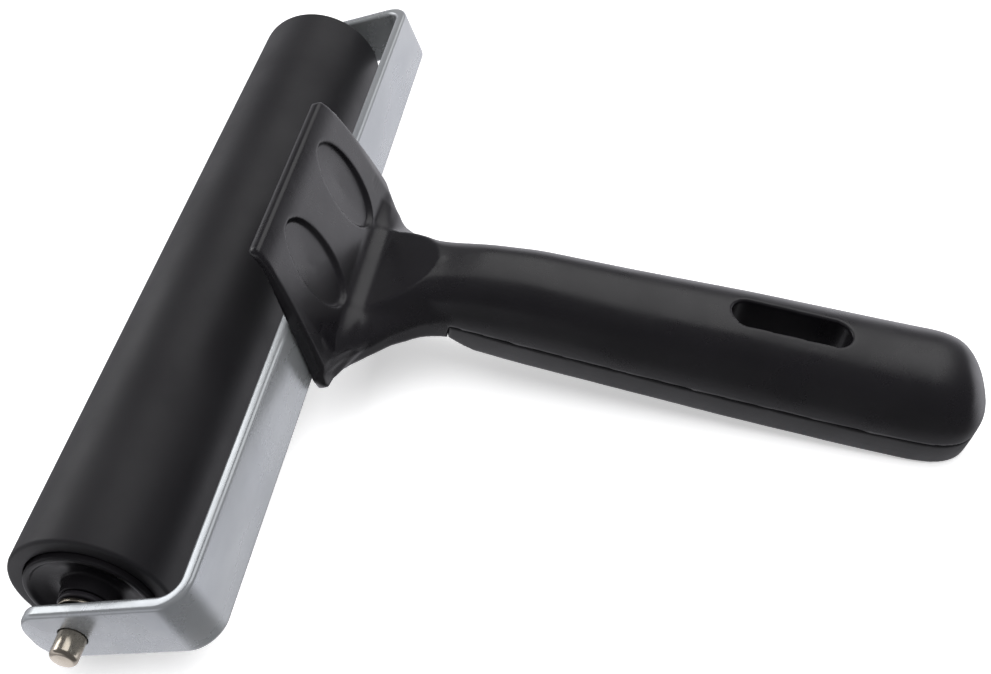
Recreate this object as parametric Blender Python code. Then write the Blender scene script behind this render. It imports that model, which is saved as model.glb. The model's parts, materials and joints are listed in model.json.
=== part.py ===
"""Rubber brayer: a soft rubber roller in a bent steel frame, with a moulded plastic handle.

Run with: blender --background --python part.py

Every shape is drawn in the tool frame, in millimetres: X runs along the roller's axis, Y points
forward, away from the handle, and Z runs across the width of the frame's steel strip. The origin is
the middle of the roller's axis. The handle has its own running coordinates, s along the grip from
the nose of the neck, and h square to it. At the end the whole tool is tipped and shifted until
it rests on the roller and on the end of the grip, centred over the row frame's origin.
"""
import math

import bmesh
import bpy
from mathutils import Matrix, Vector

# ---- Driving dimensions, in millimetres and degrees -----------------------------------------
GAP = 0.3                      # clearance kept between pieces that touch

ROLLER_LENGTH = 203.2          # 8 inch roller
ROLLER_RADIUS = 19.05          # 1.5 inch across
RUBBER_WALL = 3.75
RUBBER_EDGE = 0.5

CORE_WALL = 2.2
CAP_PROUD = 1.4                # how far the cap's rim stands out of the rubber
CAP_FLANGE = 3.2
CAP_PLUG = 12.0
CAP_RIM = 1.5
CAP_FLOOR_RADIUS = 9.5
CAP_FLOOR_DEPTH = 2.2
HUB_RADIUS = 6.3
HUB_PROUD = 1.4

AXLE_RADIUS = 3.175            # quarter inch rod
AXLE_PROUD = 5.9               # beyond the outside of the frame's arms
AXLE_DOME = 0.9
BUSH_WALL = 1.6
BUSH_FLANGE = 1.2
WASHER_THICKNESS = 0.9
CLIP_THICKNESS = 0.8
CLIP_RADIUS = 5.4
GROOVE_RADIUS = 2.55
GROOVE_WIDTH = 1.4

STRIP_THICKNESS = 3.3
STRIP_WIDTH = 15.9             # five eighths of an inch
STRIP_EDGE = 0.9
FRAME_HALF_SPAN = 112.2        # to the outside of an arm
FRAME_BACK = 32.2              # roller axis to the outside of the back bar
BEND_INSIDE = 4.3
ARM_REACH = 11.2               # past the roller's axis
ARM_CORNER = 5.5
AXLE_HOLE_RADIUS = 3.5

PLATE_TOP = 28.7
PLATE_BOTTOM = -11.0
PLATE_TOP_HALF_WIDTH = 30.0
PLATE_BOTTOM_HALF_WIDTH = 38.0
PLATE_TOP_THICKNESS = 3.0
PLATE_BOTTOM_THICKNESS = 5.4
PLATE_LIP = 1.7
PLATE_EDGE = 1.0
RECESS_CENTRE = (15.2, 11.0)   # across and up from the roller's axis
RECESS_HALF_WIDTH = 8.0
RECESS_HALF_HEIGHT = 13.2
RECESS_DEPTH = 1.8
RECESS_LEAN = 5.0
RECESS_BALL_DEPTH = 6.0        # the dish is the bottom of a stretched ball this deep
RECESS_BALL_WIDEN = 1.35

NOSE = (-59.2, -6.6)           # Y and Z of the neck's nose, where s and h start
GRIP_SLOPE = 26.0              # the grip falls away from the strip's plane by this angle
NECK_START = -24.0
NECK_UNDERSIDE = -15.8
FLARE_RADIUS = 25.5
FLARE_TOP = -8.6
FLARE_REAR = 1.4               # how far behind the nose the web starts
FLARE_STEPS = 8
FLARE_LEVELS = ((-15.5, 2.2), (-9.6, 0.0), (-7.1, 3.0))   # height, and how far the side is set in
SHELF_LEVEL = -6.0             # height of the thumb shelf between the plate and the nose

# One row for each station of the grip: s, half width, top, underside.
GRIP_STATIONS = (
    (0.0, 12.0, 0.3, -18.6),
    (12.0, 12.3, 2.6, -20.0),
    (25.0, 12.9, 3.5, -21.2),
    (50.0, 14.0, 2.0, -22.6),
    (80.0, 14.8, 1.3, -24.8),
    (112.0, 16.1, -1.0, -26.0),
    (124.8, 16.3, -1.6, -26.4),
)
GRIP_END = 142.0
GRIP_END_VERTICAL = 9.0        # length over which the end rounds over from above
SECTION_POWER = 2.5
END_POWER = 2.7
WIDEST_AT = 0.52               # share of the depth at which the grip is widest
SIDE_TAPER = 0.13
COVER_DEPTH_FRONT = 7.4
COVER_DEPTH_BACK = 9.2
COVER_FRONT = 5.4
COVER_CHAMFER = 4.3

SLOT_START = 74.2
SLOT_END = 105.5
SLOT_HALF_WIDTH = 4.85

POCKET = (29.0, 55.0)          # hollow inside the front of the grip
POCKET_WALL = 3.0

FRAME_SCREW_X = 29.0
FRAME_SCREW_Z = -1.0
FRAME_SCREW_RADIUS = 2.0
FRAME_SCREW_HEAD_RADIUS = 3.9
FRAME_SCREW_HEAD = 2.4
LOCK_WASHER_RADIUS = 3.6
LOCK_WASHER_THICKNESS = 0.9
INSERT_RADIUS = 2.9
INSERT_LENGTH = 3.9

COVER_SCREWS = (20.0, 64.0, 119.0)
COVER_SCREW_RADIUS = 1.4
COVER_SCREW_HEAD_RADIUS = 2.8
COVER_SCREW_HEAD = 2.0
COVER_SCREW_LENGTH = 11.0
COVER_SCREW_RECESS = 3.6

ROUND_STEPS = 48               # facets round the roller
SMALL_STEPS = 24               # facets round pins, screws and holes
MM = 0.001

# Colour, roughness and metallic value of each material.
MATERIALS = {
    "zinc_plated_steel": ((0.62, 0.64, 0.66, 1.0), 0.28, 1.0),
    "polished_steel": ((0.66, 0.65, 0.63, 1.0), 0.2, 1.0),
    "blackened_steel": ((0.06, 0.06, 0.06, 1.0), 0.4, 1.0),
    "brass": ((0.72, 0.55, 0.25, 1.0), 0.3, 1.0),
    "black_rubber": ((0.03, 0.03, 0.032, 1.0), 0.6, 0.0),
    "core_plastic": ((0.10, 0.10, 0.11, 1.0), 0.45, 0.0),
    "cap_plastic": ((0.055, 0.055, 0.06, 1.0), 0.42, 0.0),
    "nylon": ((0.07, 0.07, 0.075, 1.0), 0.4, 0.0),
    "handle_plastic": ((0.045, 0.045, 0.048, 1.0), 0.38, 0.0),
    "cover_plastic": ((0.048, 0.048, 0.05, 1.0), 0.42, 0.0),
}


# ---- Blender helpers ------------------------------------------------------------------------
def clear_scene():
    for item in list(bpy.data.objects):
        bpy.data.objects.remove(item, do_unlink=True)


def material(name):
    found = bpy.data.materials.get(name)
    if found:
        return found
    colour, roughness, metallic = MATERIALS[name]
    made = bpy.data.materials.new(name)
    made.use_nodes = True
    shader = made.node_tree.nodes["Principled BSDF"]
    shader.inputs["Base Color"].default_value = colour
    shader.inputs["Roughness"].default_value = roughness
    shader.inputs["Metallic"].default_value = metallic
    made.diffuse_color = colour
    return made


def empty(name, parent=None):
    item = bpy.data.objects.new(name, None)
    bpy.context.scene.collection.objects.link(item)
    item.parent = parent
    return item


def solid(name, verts, faces, parent, slot=None):
    """A closed mesh from points in millimetres; its faces are turned outwards."""
    shape = bmesh.new()
    made = [shape.verts.new(Vector(v) * MM) for v in verts]
    for face in faces:
        shape.faces.new([made[i] for i in face])
    bmesh.ops.recalc_face_normals(shape, faces=shape.faces[:])
    mesh = bpy.data.meshes.new(name)
    shape.to_mesh(mesh)
    shape.free()
    mesh.shade_smooth()
    mesh.set_sharp_from_angle(angle=math.radians(35))
    item = bpy.data.objects.new(name, mesh)
    bpy.context.scene.collection.objects.link(item)
    item.parent = parent
    if slot:
        mesh.materials.append(material(slot))
    return item


def guide(item):
    """Mark a cutter or a shape that is only joined to another."""
    item.hide_render = True
    item.display_type = "WIRE"
    return item


def boolean(target, tool, operation="DIFFERENCE"):
    step = target.modifiers.new(tool.name, "BOOLEAN")
    step.operation = operation
    step.solver = "EXACT"
    step.object = guide(tool)


def loft(name, rings, parent, slot=None):
    """Skin a list of rings that all have the same number of points, and close both ends."""
    count = len(rings[0])
    verts = [point for ring in rings for point in ring]
    faces = []
    for i in range(len(rings) - 1):
        for j in range(count):
            k = (j + 1) % count
            faces.append((i * count + j, i * count + k, (i + 1) * count + k, (i + 1) * count + j))
    faces.append(tuple(range(count)))
    faces.append(tuple(range((len(rings) - 1) * count, len(rings) * count)))
    return solid(name, verts, faces, parent, slot)


def turned(name, profile, parent, slot=None, steps=SMALL_STEPS, side=1):
    """Turn a closed outline of (distance along X, radius) points about the roller's axis."""
    rings = []
    for k in range(steps):
        angle = 2 * math.pi * k / steps
        rings.append([(side * x, r * math.cos(angle), r * math.sin(angle)) for x, r in profile])
    count = len(profile)
    verts = []
    index = []
    for ring in rings:
        row = []
        for j, point in enumerate(ring):
            if profile[j][1] == 0 and index:
                row.append(index[0][j])
            else:
                row.append(len(verts))
                verts.append(point)
        index.append(row)
    faces = []
    for k in range(steps):
        here, there = index[k], index[(k + 1) % steps]
        for j in range(count):
            i = (j + 1) % count
            corners = []
            for corner in (here[j], here[i], there[i], there[j]):
                if corner not in corners:
                    corners.append(corner)
            if len(corners) > 2:
                faces.append(tuple(corners))
    return solid(name, verts, faces, parent, slot)


def rod(name, start, end, radius, parent, slot=None, steps=SMALL_STEPS):
    """A plain round bar between two points."""
    start, end = Vector(start), Vector(end)
    turn = (end - start).to_track_quat("Z", "Y").to_matrix()
    rings = []
    for centre in (start, end):
        ring = []
        for k in range(steps):
            angle = 2 * math.pi * (k + 0.5) / steps
            ring.append(centre + turn @ Vector((radius * math.cos(angle), radius * math.sin(angle), 0)))
        rings.append(ring)
    return loft(name, rings, parent, slot)


# ---- The roller and its axle ----------------------------------------------------------------
def rubber_sleeve(parent):
    end, outer, inner = ROLLER_LENGTH / 2, ROLLER_RADIUS, ROLLER_RADIUS - RUBBER_WALL
    edge = RUBBER_EDGE
    turned("rubber_sleeve", [
        (-end, inner), (end, inner), (end, outer - edge), (end - edge, outer),
        (-end + edge, outer), (-end, outer - edge),
    ], parent, "black_rubber", ROUND_STEPS)


def core_radius():
    return ROLLER_RADIUS - RUBBER_WALL - GAP


def cap_back():
    """Where the cap's flange sits against the end of the core tube."""
    return ROLLER_LENGTH / 2 + CAP_PROUD - CAP_FLANGE


def core_tube(parent):
    end, outer = cap_back() - GAP, core_radius()
    turned("core_tube", [
        (-end, outer - CORE_WALL), (end, outer - CORE_WALL), (end, outer), (-end, outer),
    ], parent, "core_plastic", ROUND_STEPS)


def bush_radius():
    return AXLE_RADIUS + GAP + BUSH_WALL


def hub_face():
    return ROLLER_LENGTH / 2 + CAP_PROUD + HUB_PROUD


def end_cap(name, side, parent):
    face = ROLLER_LENGTH / 2 + CAP_PROUD
    floor = face - CAP_FLOOR_DEPTH
    rim = core_radius()
    plug = core_radius() - CORE_WALL - GAP
    bore = bush_radius() + GAP
    turned(name, [
        (cap_back() - CAP_PLUG, bore), (hub_face(), bore), (hub_face(), HUB_RADIUS),
        (floor, HUB_RADIUS + 0.4), (floor, CAP_FLOOR_RADIUS), (face - 0.5, rim - CAP_RIM - 0.4),
        (face, rim - CAP_RIM), (face, rim - 0.4), (face - 0.4, rim), (cap_back(), rim),
        (cap_back(), plug), (cap_back() - CAP_PLUG, plug),
    ], parent, "cap_plastic", ROUND_STEPS, side)


def axle_bush(name, side, parent):
    inner, outer = AXLE_RADIUS + GAP, bush_radius()
    back, shoulder = cap_back() - CAP_PLUG, hub_face() + GAP
    turned(name, [
        (back, inner), (shoulder + BUSH_FLANGE, inner), (shoulder + BUSH_FLANGE, HUB_RADIUS - 0.5),
        (shoulder + BUSH_FLANGE - 0.3, HUB_RADIUS - 0.2), (shoulder, HUB_RADIUS - 0.2),
        (shoulder, outer), (back, outer),
    ], parent, "nylon", SMALL_STEPS, side)


def washer_start():
    return hub_face() + GAP + BUSH_FLANGE + GAP


def clip_start():
    return washer_start() + WASHER_THICKNESS + GAP


def thrust_washer(name, side, parent):
    x0, x1 = washer_start(), washer_start() + WASHER_THICKNESS
    turned(name, [
        (x0, AXLE_RADIUS + GAP), (x1, AXLE_RADIUS + GAP), (x1, HUB_RADIUS - 0.6), (x0, HUB_RADIUS - 0.6),
    ], parent, "polished_steel", SMALL_STEPS, side)


def retaining_clip(name, side, parent):
    """A spring C-clip, open below, that snaps into the axle's groove."""
    inner, outer = GROOVE_RADIUS + GAP, CLIP_RADIUS
    x0, x1 = clip_start(), clip_start() + CLIP_THICKNESS
    rings = []
    opening = math.radians(70)
    steps = 20
    for k in range(steps + 1):
        angle = -math.pi / 2 + opening / 2 + (2 * math.pi - opening) * k / steps
        c, s = math.cos(angle), math.sin(angle)
        rings.append([(side * x, r * c, r * s) for x, r in ((x0, inner), (x1, inner), (x1, outer), (x0, outer))])
    loft(name, rings, parent, "blackened_steel")


def axle_rod(parent):
    """A straight rod with a groove for a clip inside each arm and slightly domed ends."""
    end = FRAME_HALF_SPAN + AXLE_PROUD
    groove = clip_start() + CLIP_THICKNESS / 2 - GROOVE_WIDTH / 2
    half = [
        (groove, AXLE_RADIUS), (groove, GROOVE_RADIUS),
        (groove + GROOVE_WIDTH, GROOVE_RADIUS), (groove + GROOVE_WIDTH, AXLE_RADIUS),
        (end - AXLE_DOME, AXLE_RADIUS), (end - AXLE_DOME / 3, AXLE_RADIUS * 0.8), (end, 0),
    ]
    profile = [(-x, r) for x, r in reversed(half)] + half
    turned("axle_rod", profile, parent, "polished_steel")


# ---- The bent steel frame -------------------------------------------------------------------
def strip_ring(centre, sideways, half_width):
    """The strip's cross-section with rounded edges: thickness along sideways, width along Z."""
    half, edge = STRIP_THICKNESS / 2, min(STRIP_EDGE, half_width * 0.5)
    ring = []
    corners = ((1, 1, 0), (-1, 1, 90), (-1, -1, 180), (1, -1, 270))
    for across, up, start in corners:
        for k in range(3):
            angle = math.radians(start + 45 * k)
            a = across * (half - edge) + edge * math.cos(angle)
            z = up * (half_width - edge) + edge * math.sin(angle)
            ring.append((centre[0] + sideways[0] * a, centre[1] + sideways[1] * a, z))
    return ring


def half_frame_path():
    """Centre, sideways direction and half width from the front of the right arm to the middle."""
    middle = FRAME_HALF_SPAN - STRIP_THICKNESS / 2
    half_width = STRIP_WIDTH / 2
    path = []
    for k in range(7):
        angle = math.radians(90 - 15 * k)
        reach = ARM_REACH - ARM_CORNER + ARM_CORNER * math.sin(angle)
        path.append(((middle, reach), (1, 0), half_width - ARM_CORNER + ARM_CORNER * math.cos(angle)))
    bend = BEND_INSIDE + STRIP_THICKNESS / 2
    corner = (middle - bend, -FRAME_BACK + STRIP_THICKNESS / 2 + bend)
    for k in range(7):
        angle = math.radians(-15 * k)
        out = (math.cos(angle), math.sin(angle))
        path.append(((corner[0] + bend * out[0], corner[1] + bend * out[1]), out, half_width))
    return path


def frame_bar(parent):
    right = half_frame_path()
    left = [((-c[0], c[1]), (-d[0], d[1]), w) for c, d, w in reversed(right)]
    rings = [strip_ring(c, d, w) for c, d, w in right]
    rings += [strip_ring(c, d, w) for c, d, w in left]
    bar = loft("frame_bar", rings, parent, "zinc_plated_steel")
    reach = FRAME_HALF_SPAN + 5
    boolean(bar, rod("cut_axle_holes", (-reach, 0, 0), (reach, 0, 0), AXLE_HOLE_RADIUS, parent))
    for side in (-1, 1):
        x = side * FRAME_SCREW_X
        hole = rod("cut_frame_screw_%d" % side, (x, -FRAME_BACK - 3, FRAME_SCREW_Z),
                   (x, -FRAME_BACK + 7, FRAME_SCREW_Z), FRAME_SCREW_RADIUS + GAP, parent)
        boolean(bar, hole)


# ---- The handle -----------------------------------------------------------------------------
def at(x, s, h):
    """A point of the handle, from its running coordinates to the tool frame."""
    slope = math.radians(GRIP_SLOPE)
    along = (-math.cos(slope), -math.sin(slope))
    up = (-math.sin(slope), math.cos(slope))
    return (x, NOSE[0] + s * along[0] + h * up[0], NOSE[1] + s * along[1] + h * up[1])


def grip_size(s):
    """Half width, top and underside at s, by straight runs between the stations."""
    rows = GRIP_STATIONS
    s = max(rows[0][0], min(s, rows[-1][0]))
    for low, high in zip(rows, rows[1:]):
        if s <= high[0]:
            part = (s - low[0]) / (high[0] - low[0])
            return tuple(low[i] + part * (high[i] - low[i]) for i in (1, 2, 3))
    return rows[-1][1:]


def seam_level(s):
    """The parting line between the shell and its cover."""
    under = grip_size(s)[2]
    part = max(0.0, min(1.0, (s - COVER_FRONT) / (GRIP_END - COVER_FRONT)))
    return under + COVER_DEPTH_FRONT + part * (COVER_DEPTH_BACK - COVER_DEPTH_FRONT)


def end_shrink(s):
    """Width and height factors that round off the end of the grip."""
    start = GRIP_STATIONS[-1][0]
    q = max(0.0, (s - start) / (GRIP_END - start))
    r = max(0.0, (s - GRIP_END + GRIP_END_VERTICAL) / GRIP_END_VERTICAL)
    return (1 - q ** END_POWER) ** (1 / END_POWER), (1 - r ** END_POWER) ** (1 / END_POWER)


def section(s):
    """Half width, top, widest level and underside of the grip at s, rounded off at its end."""
    half, top, under = grip_size(s)
    wide, tall = end_shrink(s)
    level = top - WIDEST_AT * (top - under)
    return half * wide, level + (top - level) * tall, level, level + (under - level) * (0.75 + 0.25 * tall)


def side_x(s, h, inset=0.0):
    """Half width of the grip at s and at height h below its widest level."""
    half, _, level, under = section(s)
    depth = max(0.0, (level - h) / (level - under))
    return half * (1 - SIDE_TAPER * depth ** 1.8) - inset


def mirror_ring(half_ring):
    """Close a half section, given from top centre down the right side, with its mirror image."""
    left = [(-x, y, z) for x, y, z in reversed(half_ring) if x > 1e-6]
    return half_ring + left


def upper_ring(s, low, inset=0.0, crown=6):
    """The grip's section from its crown down to level low."""
    half, top, level, _ = section(s)
    half, top = half - inset, top - inset
    ring = []
    for k in range(crown + 1):
        angle = math.pi / 2 * k / crown
        x = half * math.sin(angle) ** (2 / SECTION_POWER)
        h = level + (top - level) * max(0.0, math.cos(angle)) ** (2 / SECTION_POWER)
        ring.append(at(x, s, h))
    for k in (1, 2):
        h = level + (low - level) * k / 2
        ring.append(at(side_x(s, h, inset), s, h))
    return mirror_ring(ring)


def lower_ring(s, high, low):
    """The cover's section between two levels."""
    levels = [high + (low - high) * k / 3 for k in range(4)]
    return mirror_ring([at(side_x(s, h), s, h) for h in levels])


def stadium(s0, s1, half, low, high, name, parent, steps=8):
    """An upright slot-shaped cutter along the grip."""
    rings = []
    for level in (low, high):
        ring = []
        for k in range(steps + 1):
            angle = math.radians(-90 + 180 * k / steps)
            ring.append(at(half * math.sin(angle), s1 - half + half * math.cos(angle), level))
        for k in range(steps + 1):
            angle = math.radians(90 + 180 * k / steps)
            ring.append(at(half * math.sin(angle), s0 + half + half * math.cos(angle), level))
        rings.append(ring)
    return loft(name, rings, parent)


def end_stations(start):
    """Stations that close in on the grip's rounded end."""
    return [start + (GRIP_END - start) * math.sin(math.radians(90 * k / 6)) for k in range(1, 6)]


def neck_and_grip(parent):
    rings = []
    for s in (NECK_START, -8.0, 0.0, COVER_FRONT - 0.4):
        rings.append(upper_ring(s, NECK_UNDERSIDE))
    body = [COVER_FRONT] + [row[0] for row in GRIP_STATIONS[1:]]
    for s in body + end_stations(GRIP_STATIONS[-1][0]):
        rings.append(upper_ring(s, seam_level(s)))
    return loft("handle_shell", rings, parent, "handle_plastic")


def plate_rear(z):
    """Y of the plate's rear face at height z."""
    part = (z - PLATE_BOTTOM) / (PLATE_TOP - PLATE_BOTTOM)
    lean = PLATE_BOTTOM_THICKNESS + part * (PLATE_TOP_THICKNESS - PLATE_BOTTOM_THICKNESS)
    return plate_front() - lean


def plate_front():
    return -FRAME_BACK - GAP


def plate(parent):
    """The finger guard: a slab that narrows upwards and ends in a lip that leans forward."""
    rings = []
    for z, inset, forward in (
        (PLATE_BOTTOM, 1.0, 0.0), (PLATE_BOTTOM + 1.2, 0.0, 0.0), (PLATE_TOP - 5.0, 0.0, 0.0),
        (PLATE_TOP - 1.5, 0.3, PLATE_LIP * 0.6), (PLATE_TOP, 2.0, PLATE_LIP),
    ):
        part = (z - PLATE_BOTTOM) / (PLATE_TOP - PLATE_BOTTOM)
        half = PLATE_BOTTOM_HALF_WIDTH + part * (PLATE_TOP_HALF_WIDTH - PLATE_BOTTOM_HALF_WIDTH) - inset
        front, rear = plate_front() + forward, plate_rear(z) + forward * 0.6
        edge = PLATE_EDGE
        rings.append([
            (-half, front, z), (half, front, z), (half, rear + edge, z), (half - edge, rear, z),
            (-half + edge, rear, z), (-half, rear + edge, z),
        ])
    return loft("join_plate", rings, parent)


def flare(parent):
    """The web below the thumb shelf that widens the neck out to the plate's lower corners."""
    neck = GRIP_STATIONS[0][1] * (1 - SIDE_TAPER)
    side = []
    for k in range(FLARE_STEPS + 1):
        angle = math.pi / 2 * k / FLARE_STEPS
        side.append((neck + FLARE_RADIUS * (1 - math.cos(angle)), FLARE_RADIUS * math.sin(angle)))
    rings = []
    rear = at(0, 0, FLARE_TOP)[1] - FLARE_REAR
    front = rear + FLARE_RADIUS + 1.0
    for level, inset in FLARE_LEVELS:
        ring = []
        for x, forward in side:
            y = rear + forward
            ring.append((x - inset, y, level_z(y, level)))
        ring.append((side[-1][0] - inset, front, level_z(front, level)))
        rings.append(ring + [(-x, y, z) for x, y, z in reversed(ring)])
    return loft("join_flare", rings, parent)


def level_z(y, h):
    """Z of the point at this Y whose running height is h."""
    slope = math.radians(GRIP_SLOPE)
    s = (NOSE[0] - y - h * math.sin(slope)) / math.cos(slope)
    return at(0, s, h)[2]


def block(name, low, high, parent):
    x0, y0, z0 = low
    x1, y1, z1 = high
    ring = ((x0, y0), (x1, y0), (x1, y1), (x0, y1))
    return loft(name, [[(x, y, z) for x, y in ring] for z in (z0, z1)], parent)


def ellipsoid(name, centre, radii, lean, parent):
    """A stretched ball, leaned about X to lie along the plate's rear face."""
    shape = bmesh.new()
    bmesh.ops.create_uvsphere(shape, u_segments=24, v_segments=12, radius=1.0)
    size = Matrix.Diagonal((*[r * MM for r in radii], 1.0))
    place = Matrix.Translation(Vector(centre) * MM) @ Matrix.Rotation(math.radians(lean), 4, "X")
    bmesh.ops.transform(shape, matrix=place @ size, verts=shape.verts[:])
    mesh = bpy.data.meshes.new(name)
    shape.to_mesh(mesh)
    shape.free()
    item = bpy.data.objects.new(name, mesh)
    bpy.context.scene.collection.objects.link(item)
    item.parent = parent
    return item


def handle_shell(parent):
    shell = neck_and_grip(parent)
    boolean(shell, flare(parent), "UNION")
    # The thumb shelf: everything above it, from the nose forward, is cut away before the plate.
    boolean(shell, block("cut_shelf", (-60, NOSE[0], SHELF_LEVEL), (60, 0, 60), parent))
    boolean(shell, block("cut_front", (-60, plate_front() - 1.0, -80), (60, 20, 80), parent))
    boolean(shell, plate(parent), "UNION")
    for side in (-1, 1):
        x, z = side * RECESS_CENTRE[0], RECESS_CENTRE[1]
        centre = (x, plate_rear(z) - RECESS_BALL_DEPTH + RECESS_DEPTH, z)
        dish = ellipsoid("cut_recess_%d" % side, centre,
                         (RECESS_HALF_WIDTH * RECESS_BALL_WIDEN, RECESS_BALL_DEPTH,
                          RECESS_HALF_HEIGHT * RECESS_BALL_WIDEN), -RECESS_LEAN, parent)
        boolean(shell, dish)
        hole = rod("cut_insert_%d" % side, (side * FRAME_SCREW_X, plate_front() + 2, FRAME_SCREW_Z),
                   (side * FRAME_SCREW_X, plate_front() - INSERT_LENGTH - GAP, FRAME_SCREW_Z),
                   INSERT_RADIUS + GAP, parent)
        boolean(shell, hole)
    boolean(shell, stadium(SLOT_START, SLOT_END, SLOT_HALF_WIDTH, -40, 12, "cut_slot_shell", parent))
    boolean(shell, pocket(parent))
    for k, s in enumerate(COVER_SCREWS):
        depth = cover_screw_tip(s) + GAP
        boolean(shell, rod("cut_boss_%d" % k, at(0, s, seam_level(s) - 2), at(0, s, depth),
                           COVER_SCREW_RADIUS + GAP, parent, steps=16))


def pocket(parent):
    rings = []
    for s in (POCKET[0], (POCKET[0] + POCKET[1]) / 2, POCKET[1]):
        rings.append(upper_ring(s, seam_level(s) - 2.0, POCKET_WALL, 3))
    return loft("cut_pocket", rings, parent)


def cover_screw_tip(s):
    return section(s)[3] + COVER_SCREW_RECESS + COVER_SCREW_LENGTH


def grip_cover(parent):
    start = COVER_FRONT + GAP + 0.1
    rings = [lower_ring(start, seam_level(start) - GAP, NECK_UNDERSIDE - 0.2)]
    body = [start + COVER_CHAMFER] + [row[0] for row in GRIP_STATIONS[1:]]
    for s in body + end_stations(GRIP_STATIONS[-1][0]):
        rings.append(lower_ring(s, seam_level(s) - GAP, section(s)[3]))
    cover = loft("grip_cover", rings, parent, "cover_plastic")
    boolean(cover, stadium(SLOT_START, SLOT_END, SLOT_HALF_WIDTH, -50, 12, "cut_slot_cover", parent))
    for k, s in enumerate(COVER_SCREWS):
        low = section(s)[3]
        boolean(cover, rod("cut_screw_%d" % k, at(0, s, low - 5), at(0, s, low + 14),
                           COVER_SCREW_RADIUS + GAP, parent, steps=16))
        boolean(cover, rod("cut_sink_%d" % k, at(0, s, low - 5), at(0, s, low + COVER_SCREW_RECESS),
                           COVER_SCREW_HEAD_RADIUS + GAP + 0.2, parent, steps=16))


# ---- Fasteners ------------------------------------------------------------------------------
def pan_screw(name, base, direction, head_radius, head, radius, length, parent, slot):
    """A pan-head screw with a cross recess: base is under the head, direction points down the shank."""
    turn = Vector(direction).to_track_quat("X", "Z").to_matrix()
    profile = [
        (-head, 0), (-head, head_radius * 0.55), (-head * 0.72, head_radius * 0.88),
        (-head * 0.3, head_radius), (0, head_radius), (0, radius), (length - radius, radius), (length, 0),
    ]
    screw = turned(name, profile, parent, slot, 16)
    screw.data.transform(Matrix.Translation(Vector(base) * MM) @ turn.to_4x4())
    for k, wide in enumerate(((0.62, 0.16), (0.16, 0.62))):
        corners = []
        for x in (-head * 1.4, -head * 0.45):
            ring = []
            for a, b in ((-1, -1), (1, -1), (1, 1), (-1, 1)):
                point = Vector((x, a * wide[0] * head_radius, b * wide[1] * head_radius))
                ring.append(Vector(base) + turn @ point)
            corners.append(ring)
        boolean(screw, loft("cut_%s_%d" % (name, k), corners, parent))
    return screw


def ring_piece(name, base, direction, inner, outer, length, parent, slot, steps=SMALL_STEPS):
    """A plain ring whose near face is at base."""
    turn = Vector(direction).to_track_quat("X", "Z").to_matrix()
    ring = turned(name, [(0, inner), (length, inner), (length, outer), (0, outer)], parent, slot, steps)
    ring.data.transform(Matrix.Translation(Vector(base) * MM) @ turn.to_4x4())


def frame_fasteners(parent):
    back = (0, -1, 0)
    inside = -FRAME_BACK + STRIP_THICKNESS
    for name, side in (("left", -1), ("right", 1)):
        x = side * FRAME_SCREW_X
        washer_y = inside + GAP + LOCK_WASHER_THICKNESS
        head_y = washer_y + GAP
        length = head_y - plate_front() + INSERT_LENGTH - 0.4
        ring_piece("frame_lock_washer_" + name, (x, washer_y, FRAME_SCREW_Z), back,
                   FRAME_SCREW_RADIUS + GAP, LOCK_WASHER_RADIUS, LOCK_WASHER_THICKNESS, parent,
                   "zinc_plated_steel")
        pan_screw("frame_screw_" + name, (x, head_y, FRAME_SCREW_Z), back, FRAME_SCREW_HEAD_RADIUS,
                  FRAME_SCREW_HEAD, FRAME_SCREW_RADIUS - GAP, length, parent, "zinc_plated_steel")
        ring_piece("threaded_insert_" + name, (x, plate_front() - 0.05, FRAME_SCREW_Z), back,
                   FRAME_SCREW_RADIUS, INSERT_RADIUS, INSERT_LENGTH - 0.05, parent, "brass")


def cover_fasteners(parent):
    for name, s in zip(("front", "middle", "rear"), COVER_SCREWS):
        low = section(s)[3] + COVER_SCREW_RECESS - GAP
        up = Vector(at(0, s, 1)) - Vector(at(0, s, 0))
        pan_screw("cover_screw_" + name, at(0, s, low), up, COVER_SCREW_HEAD_RADIUS,
                  COVER_SCREW_HEAD, COVER_SCREW_RADIUS, COVER_SCREW_LENGTH, parent, "blackened_steel")


# ---- Putting the tool on the table ----------------------------------------------------------
def world_points(names):
    bpy.context.view_layer.update()
    points = []
    for name in names:
        item = bpy.data.objects[name]
        points += [item.matrix_world @ v.co for v in item.data.vertices]
    return points


def rest_tilt():
    """The angle that brings the lowest point of the grip down level with the roller's underside."""
    points = world_points(["grip_cover"])
    radius = ROLLER_RADIUS * MM
    low, high = 0.0, math.radians(45)
    for _ in range(50):
        tilt = (low + high) / 2
        lowest = min(p.z * math.cos(tilt) - p.y * math.sin(tilt) for p in points)
        if lowest < -radius:
            low = tilt
        else:
            high = tilt
    return high


def stand_on_table(tool):
    tool.rotation_euler = (-rest_tilt(), 0, 0)
    points = world_points(["grip_cover", "handle_shell", "rubber_sleeve"])
    back, front = min(p.y for p in points), max(p.y for p in points)
    tool.location = (0, -(back + front) / 2, ROLLER_RADIUS * MM)


def build():
    clear_scene()
    tool = empty("tool_frame")
    roller = empty("roller_axis", tool)
    rubber_sleeve(roller)
    core_tube(roller)
    for name, side in (("left", -1), ("right", 1)):
        end_cap("end_cap_" + name, side, roller)
        axle_bush("axle_bush_" + name, side, roller)
        thrust_washer("thrust_washer_" + name, side, tool)
        retaining_clip("retaining_clip_" + name, side, tool)
    axle_rod(tool)
    frame_bar(tool)
    handle_shell(tool)
    grip_cover(tool)
    frame_fasteners(tool)
    cover_fasteners(tool)
    stand_on_table(tool)
    bpy.context.view_layer.update()


build()
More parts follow.
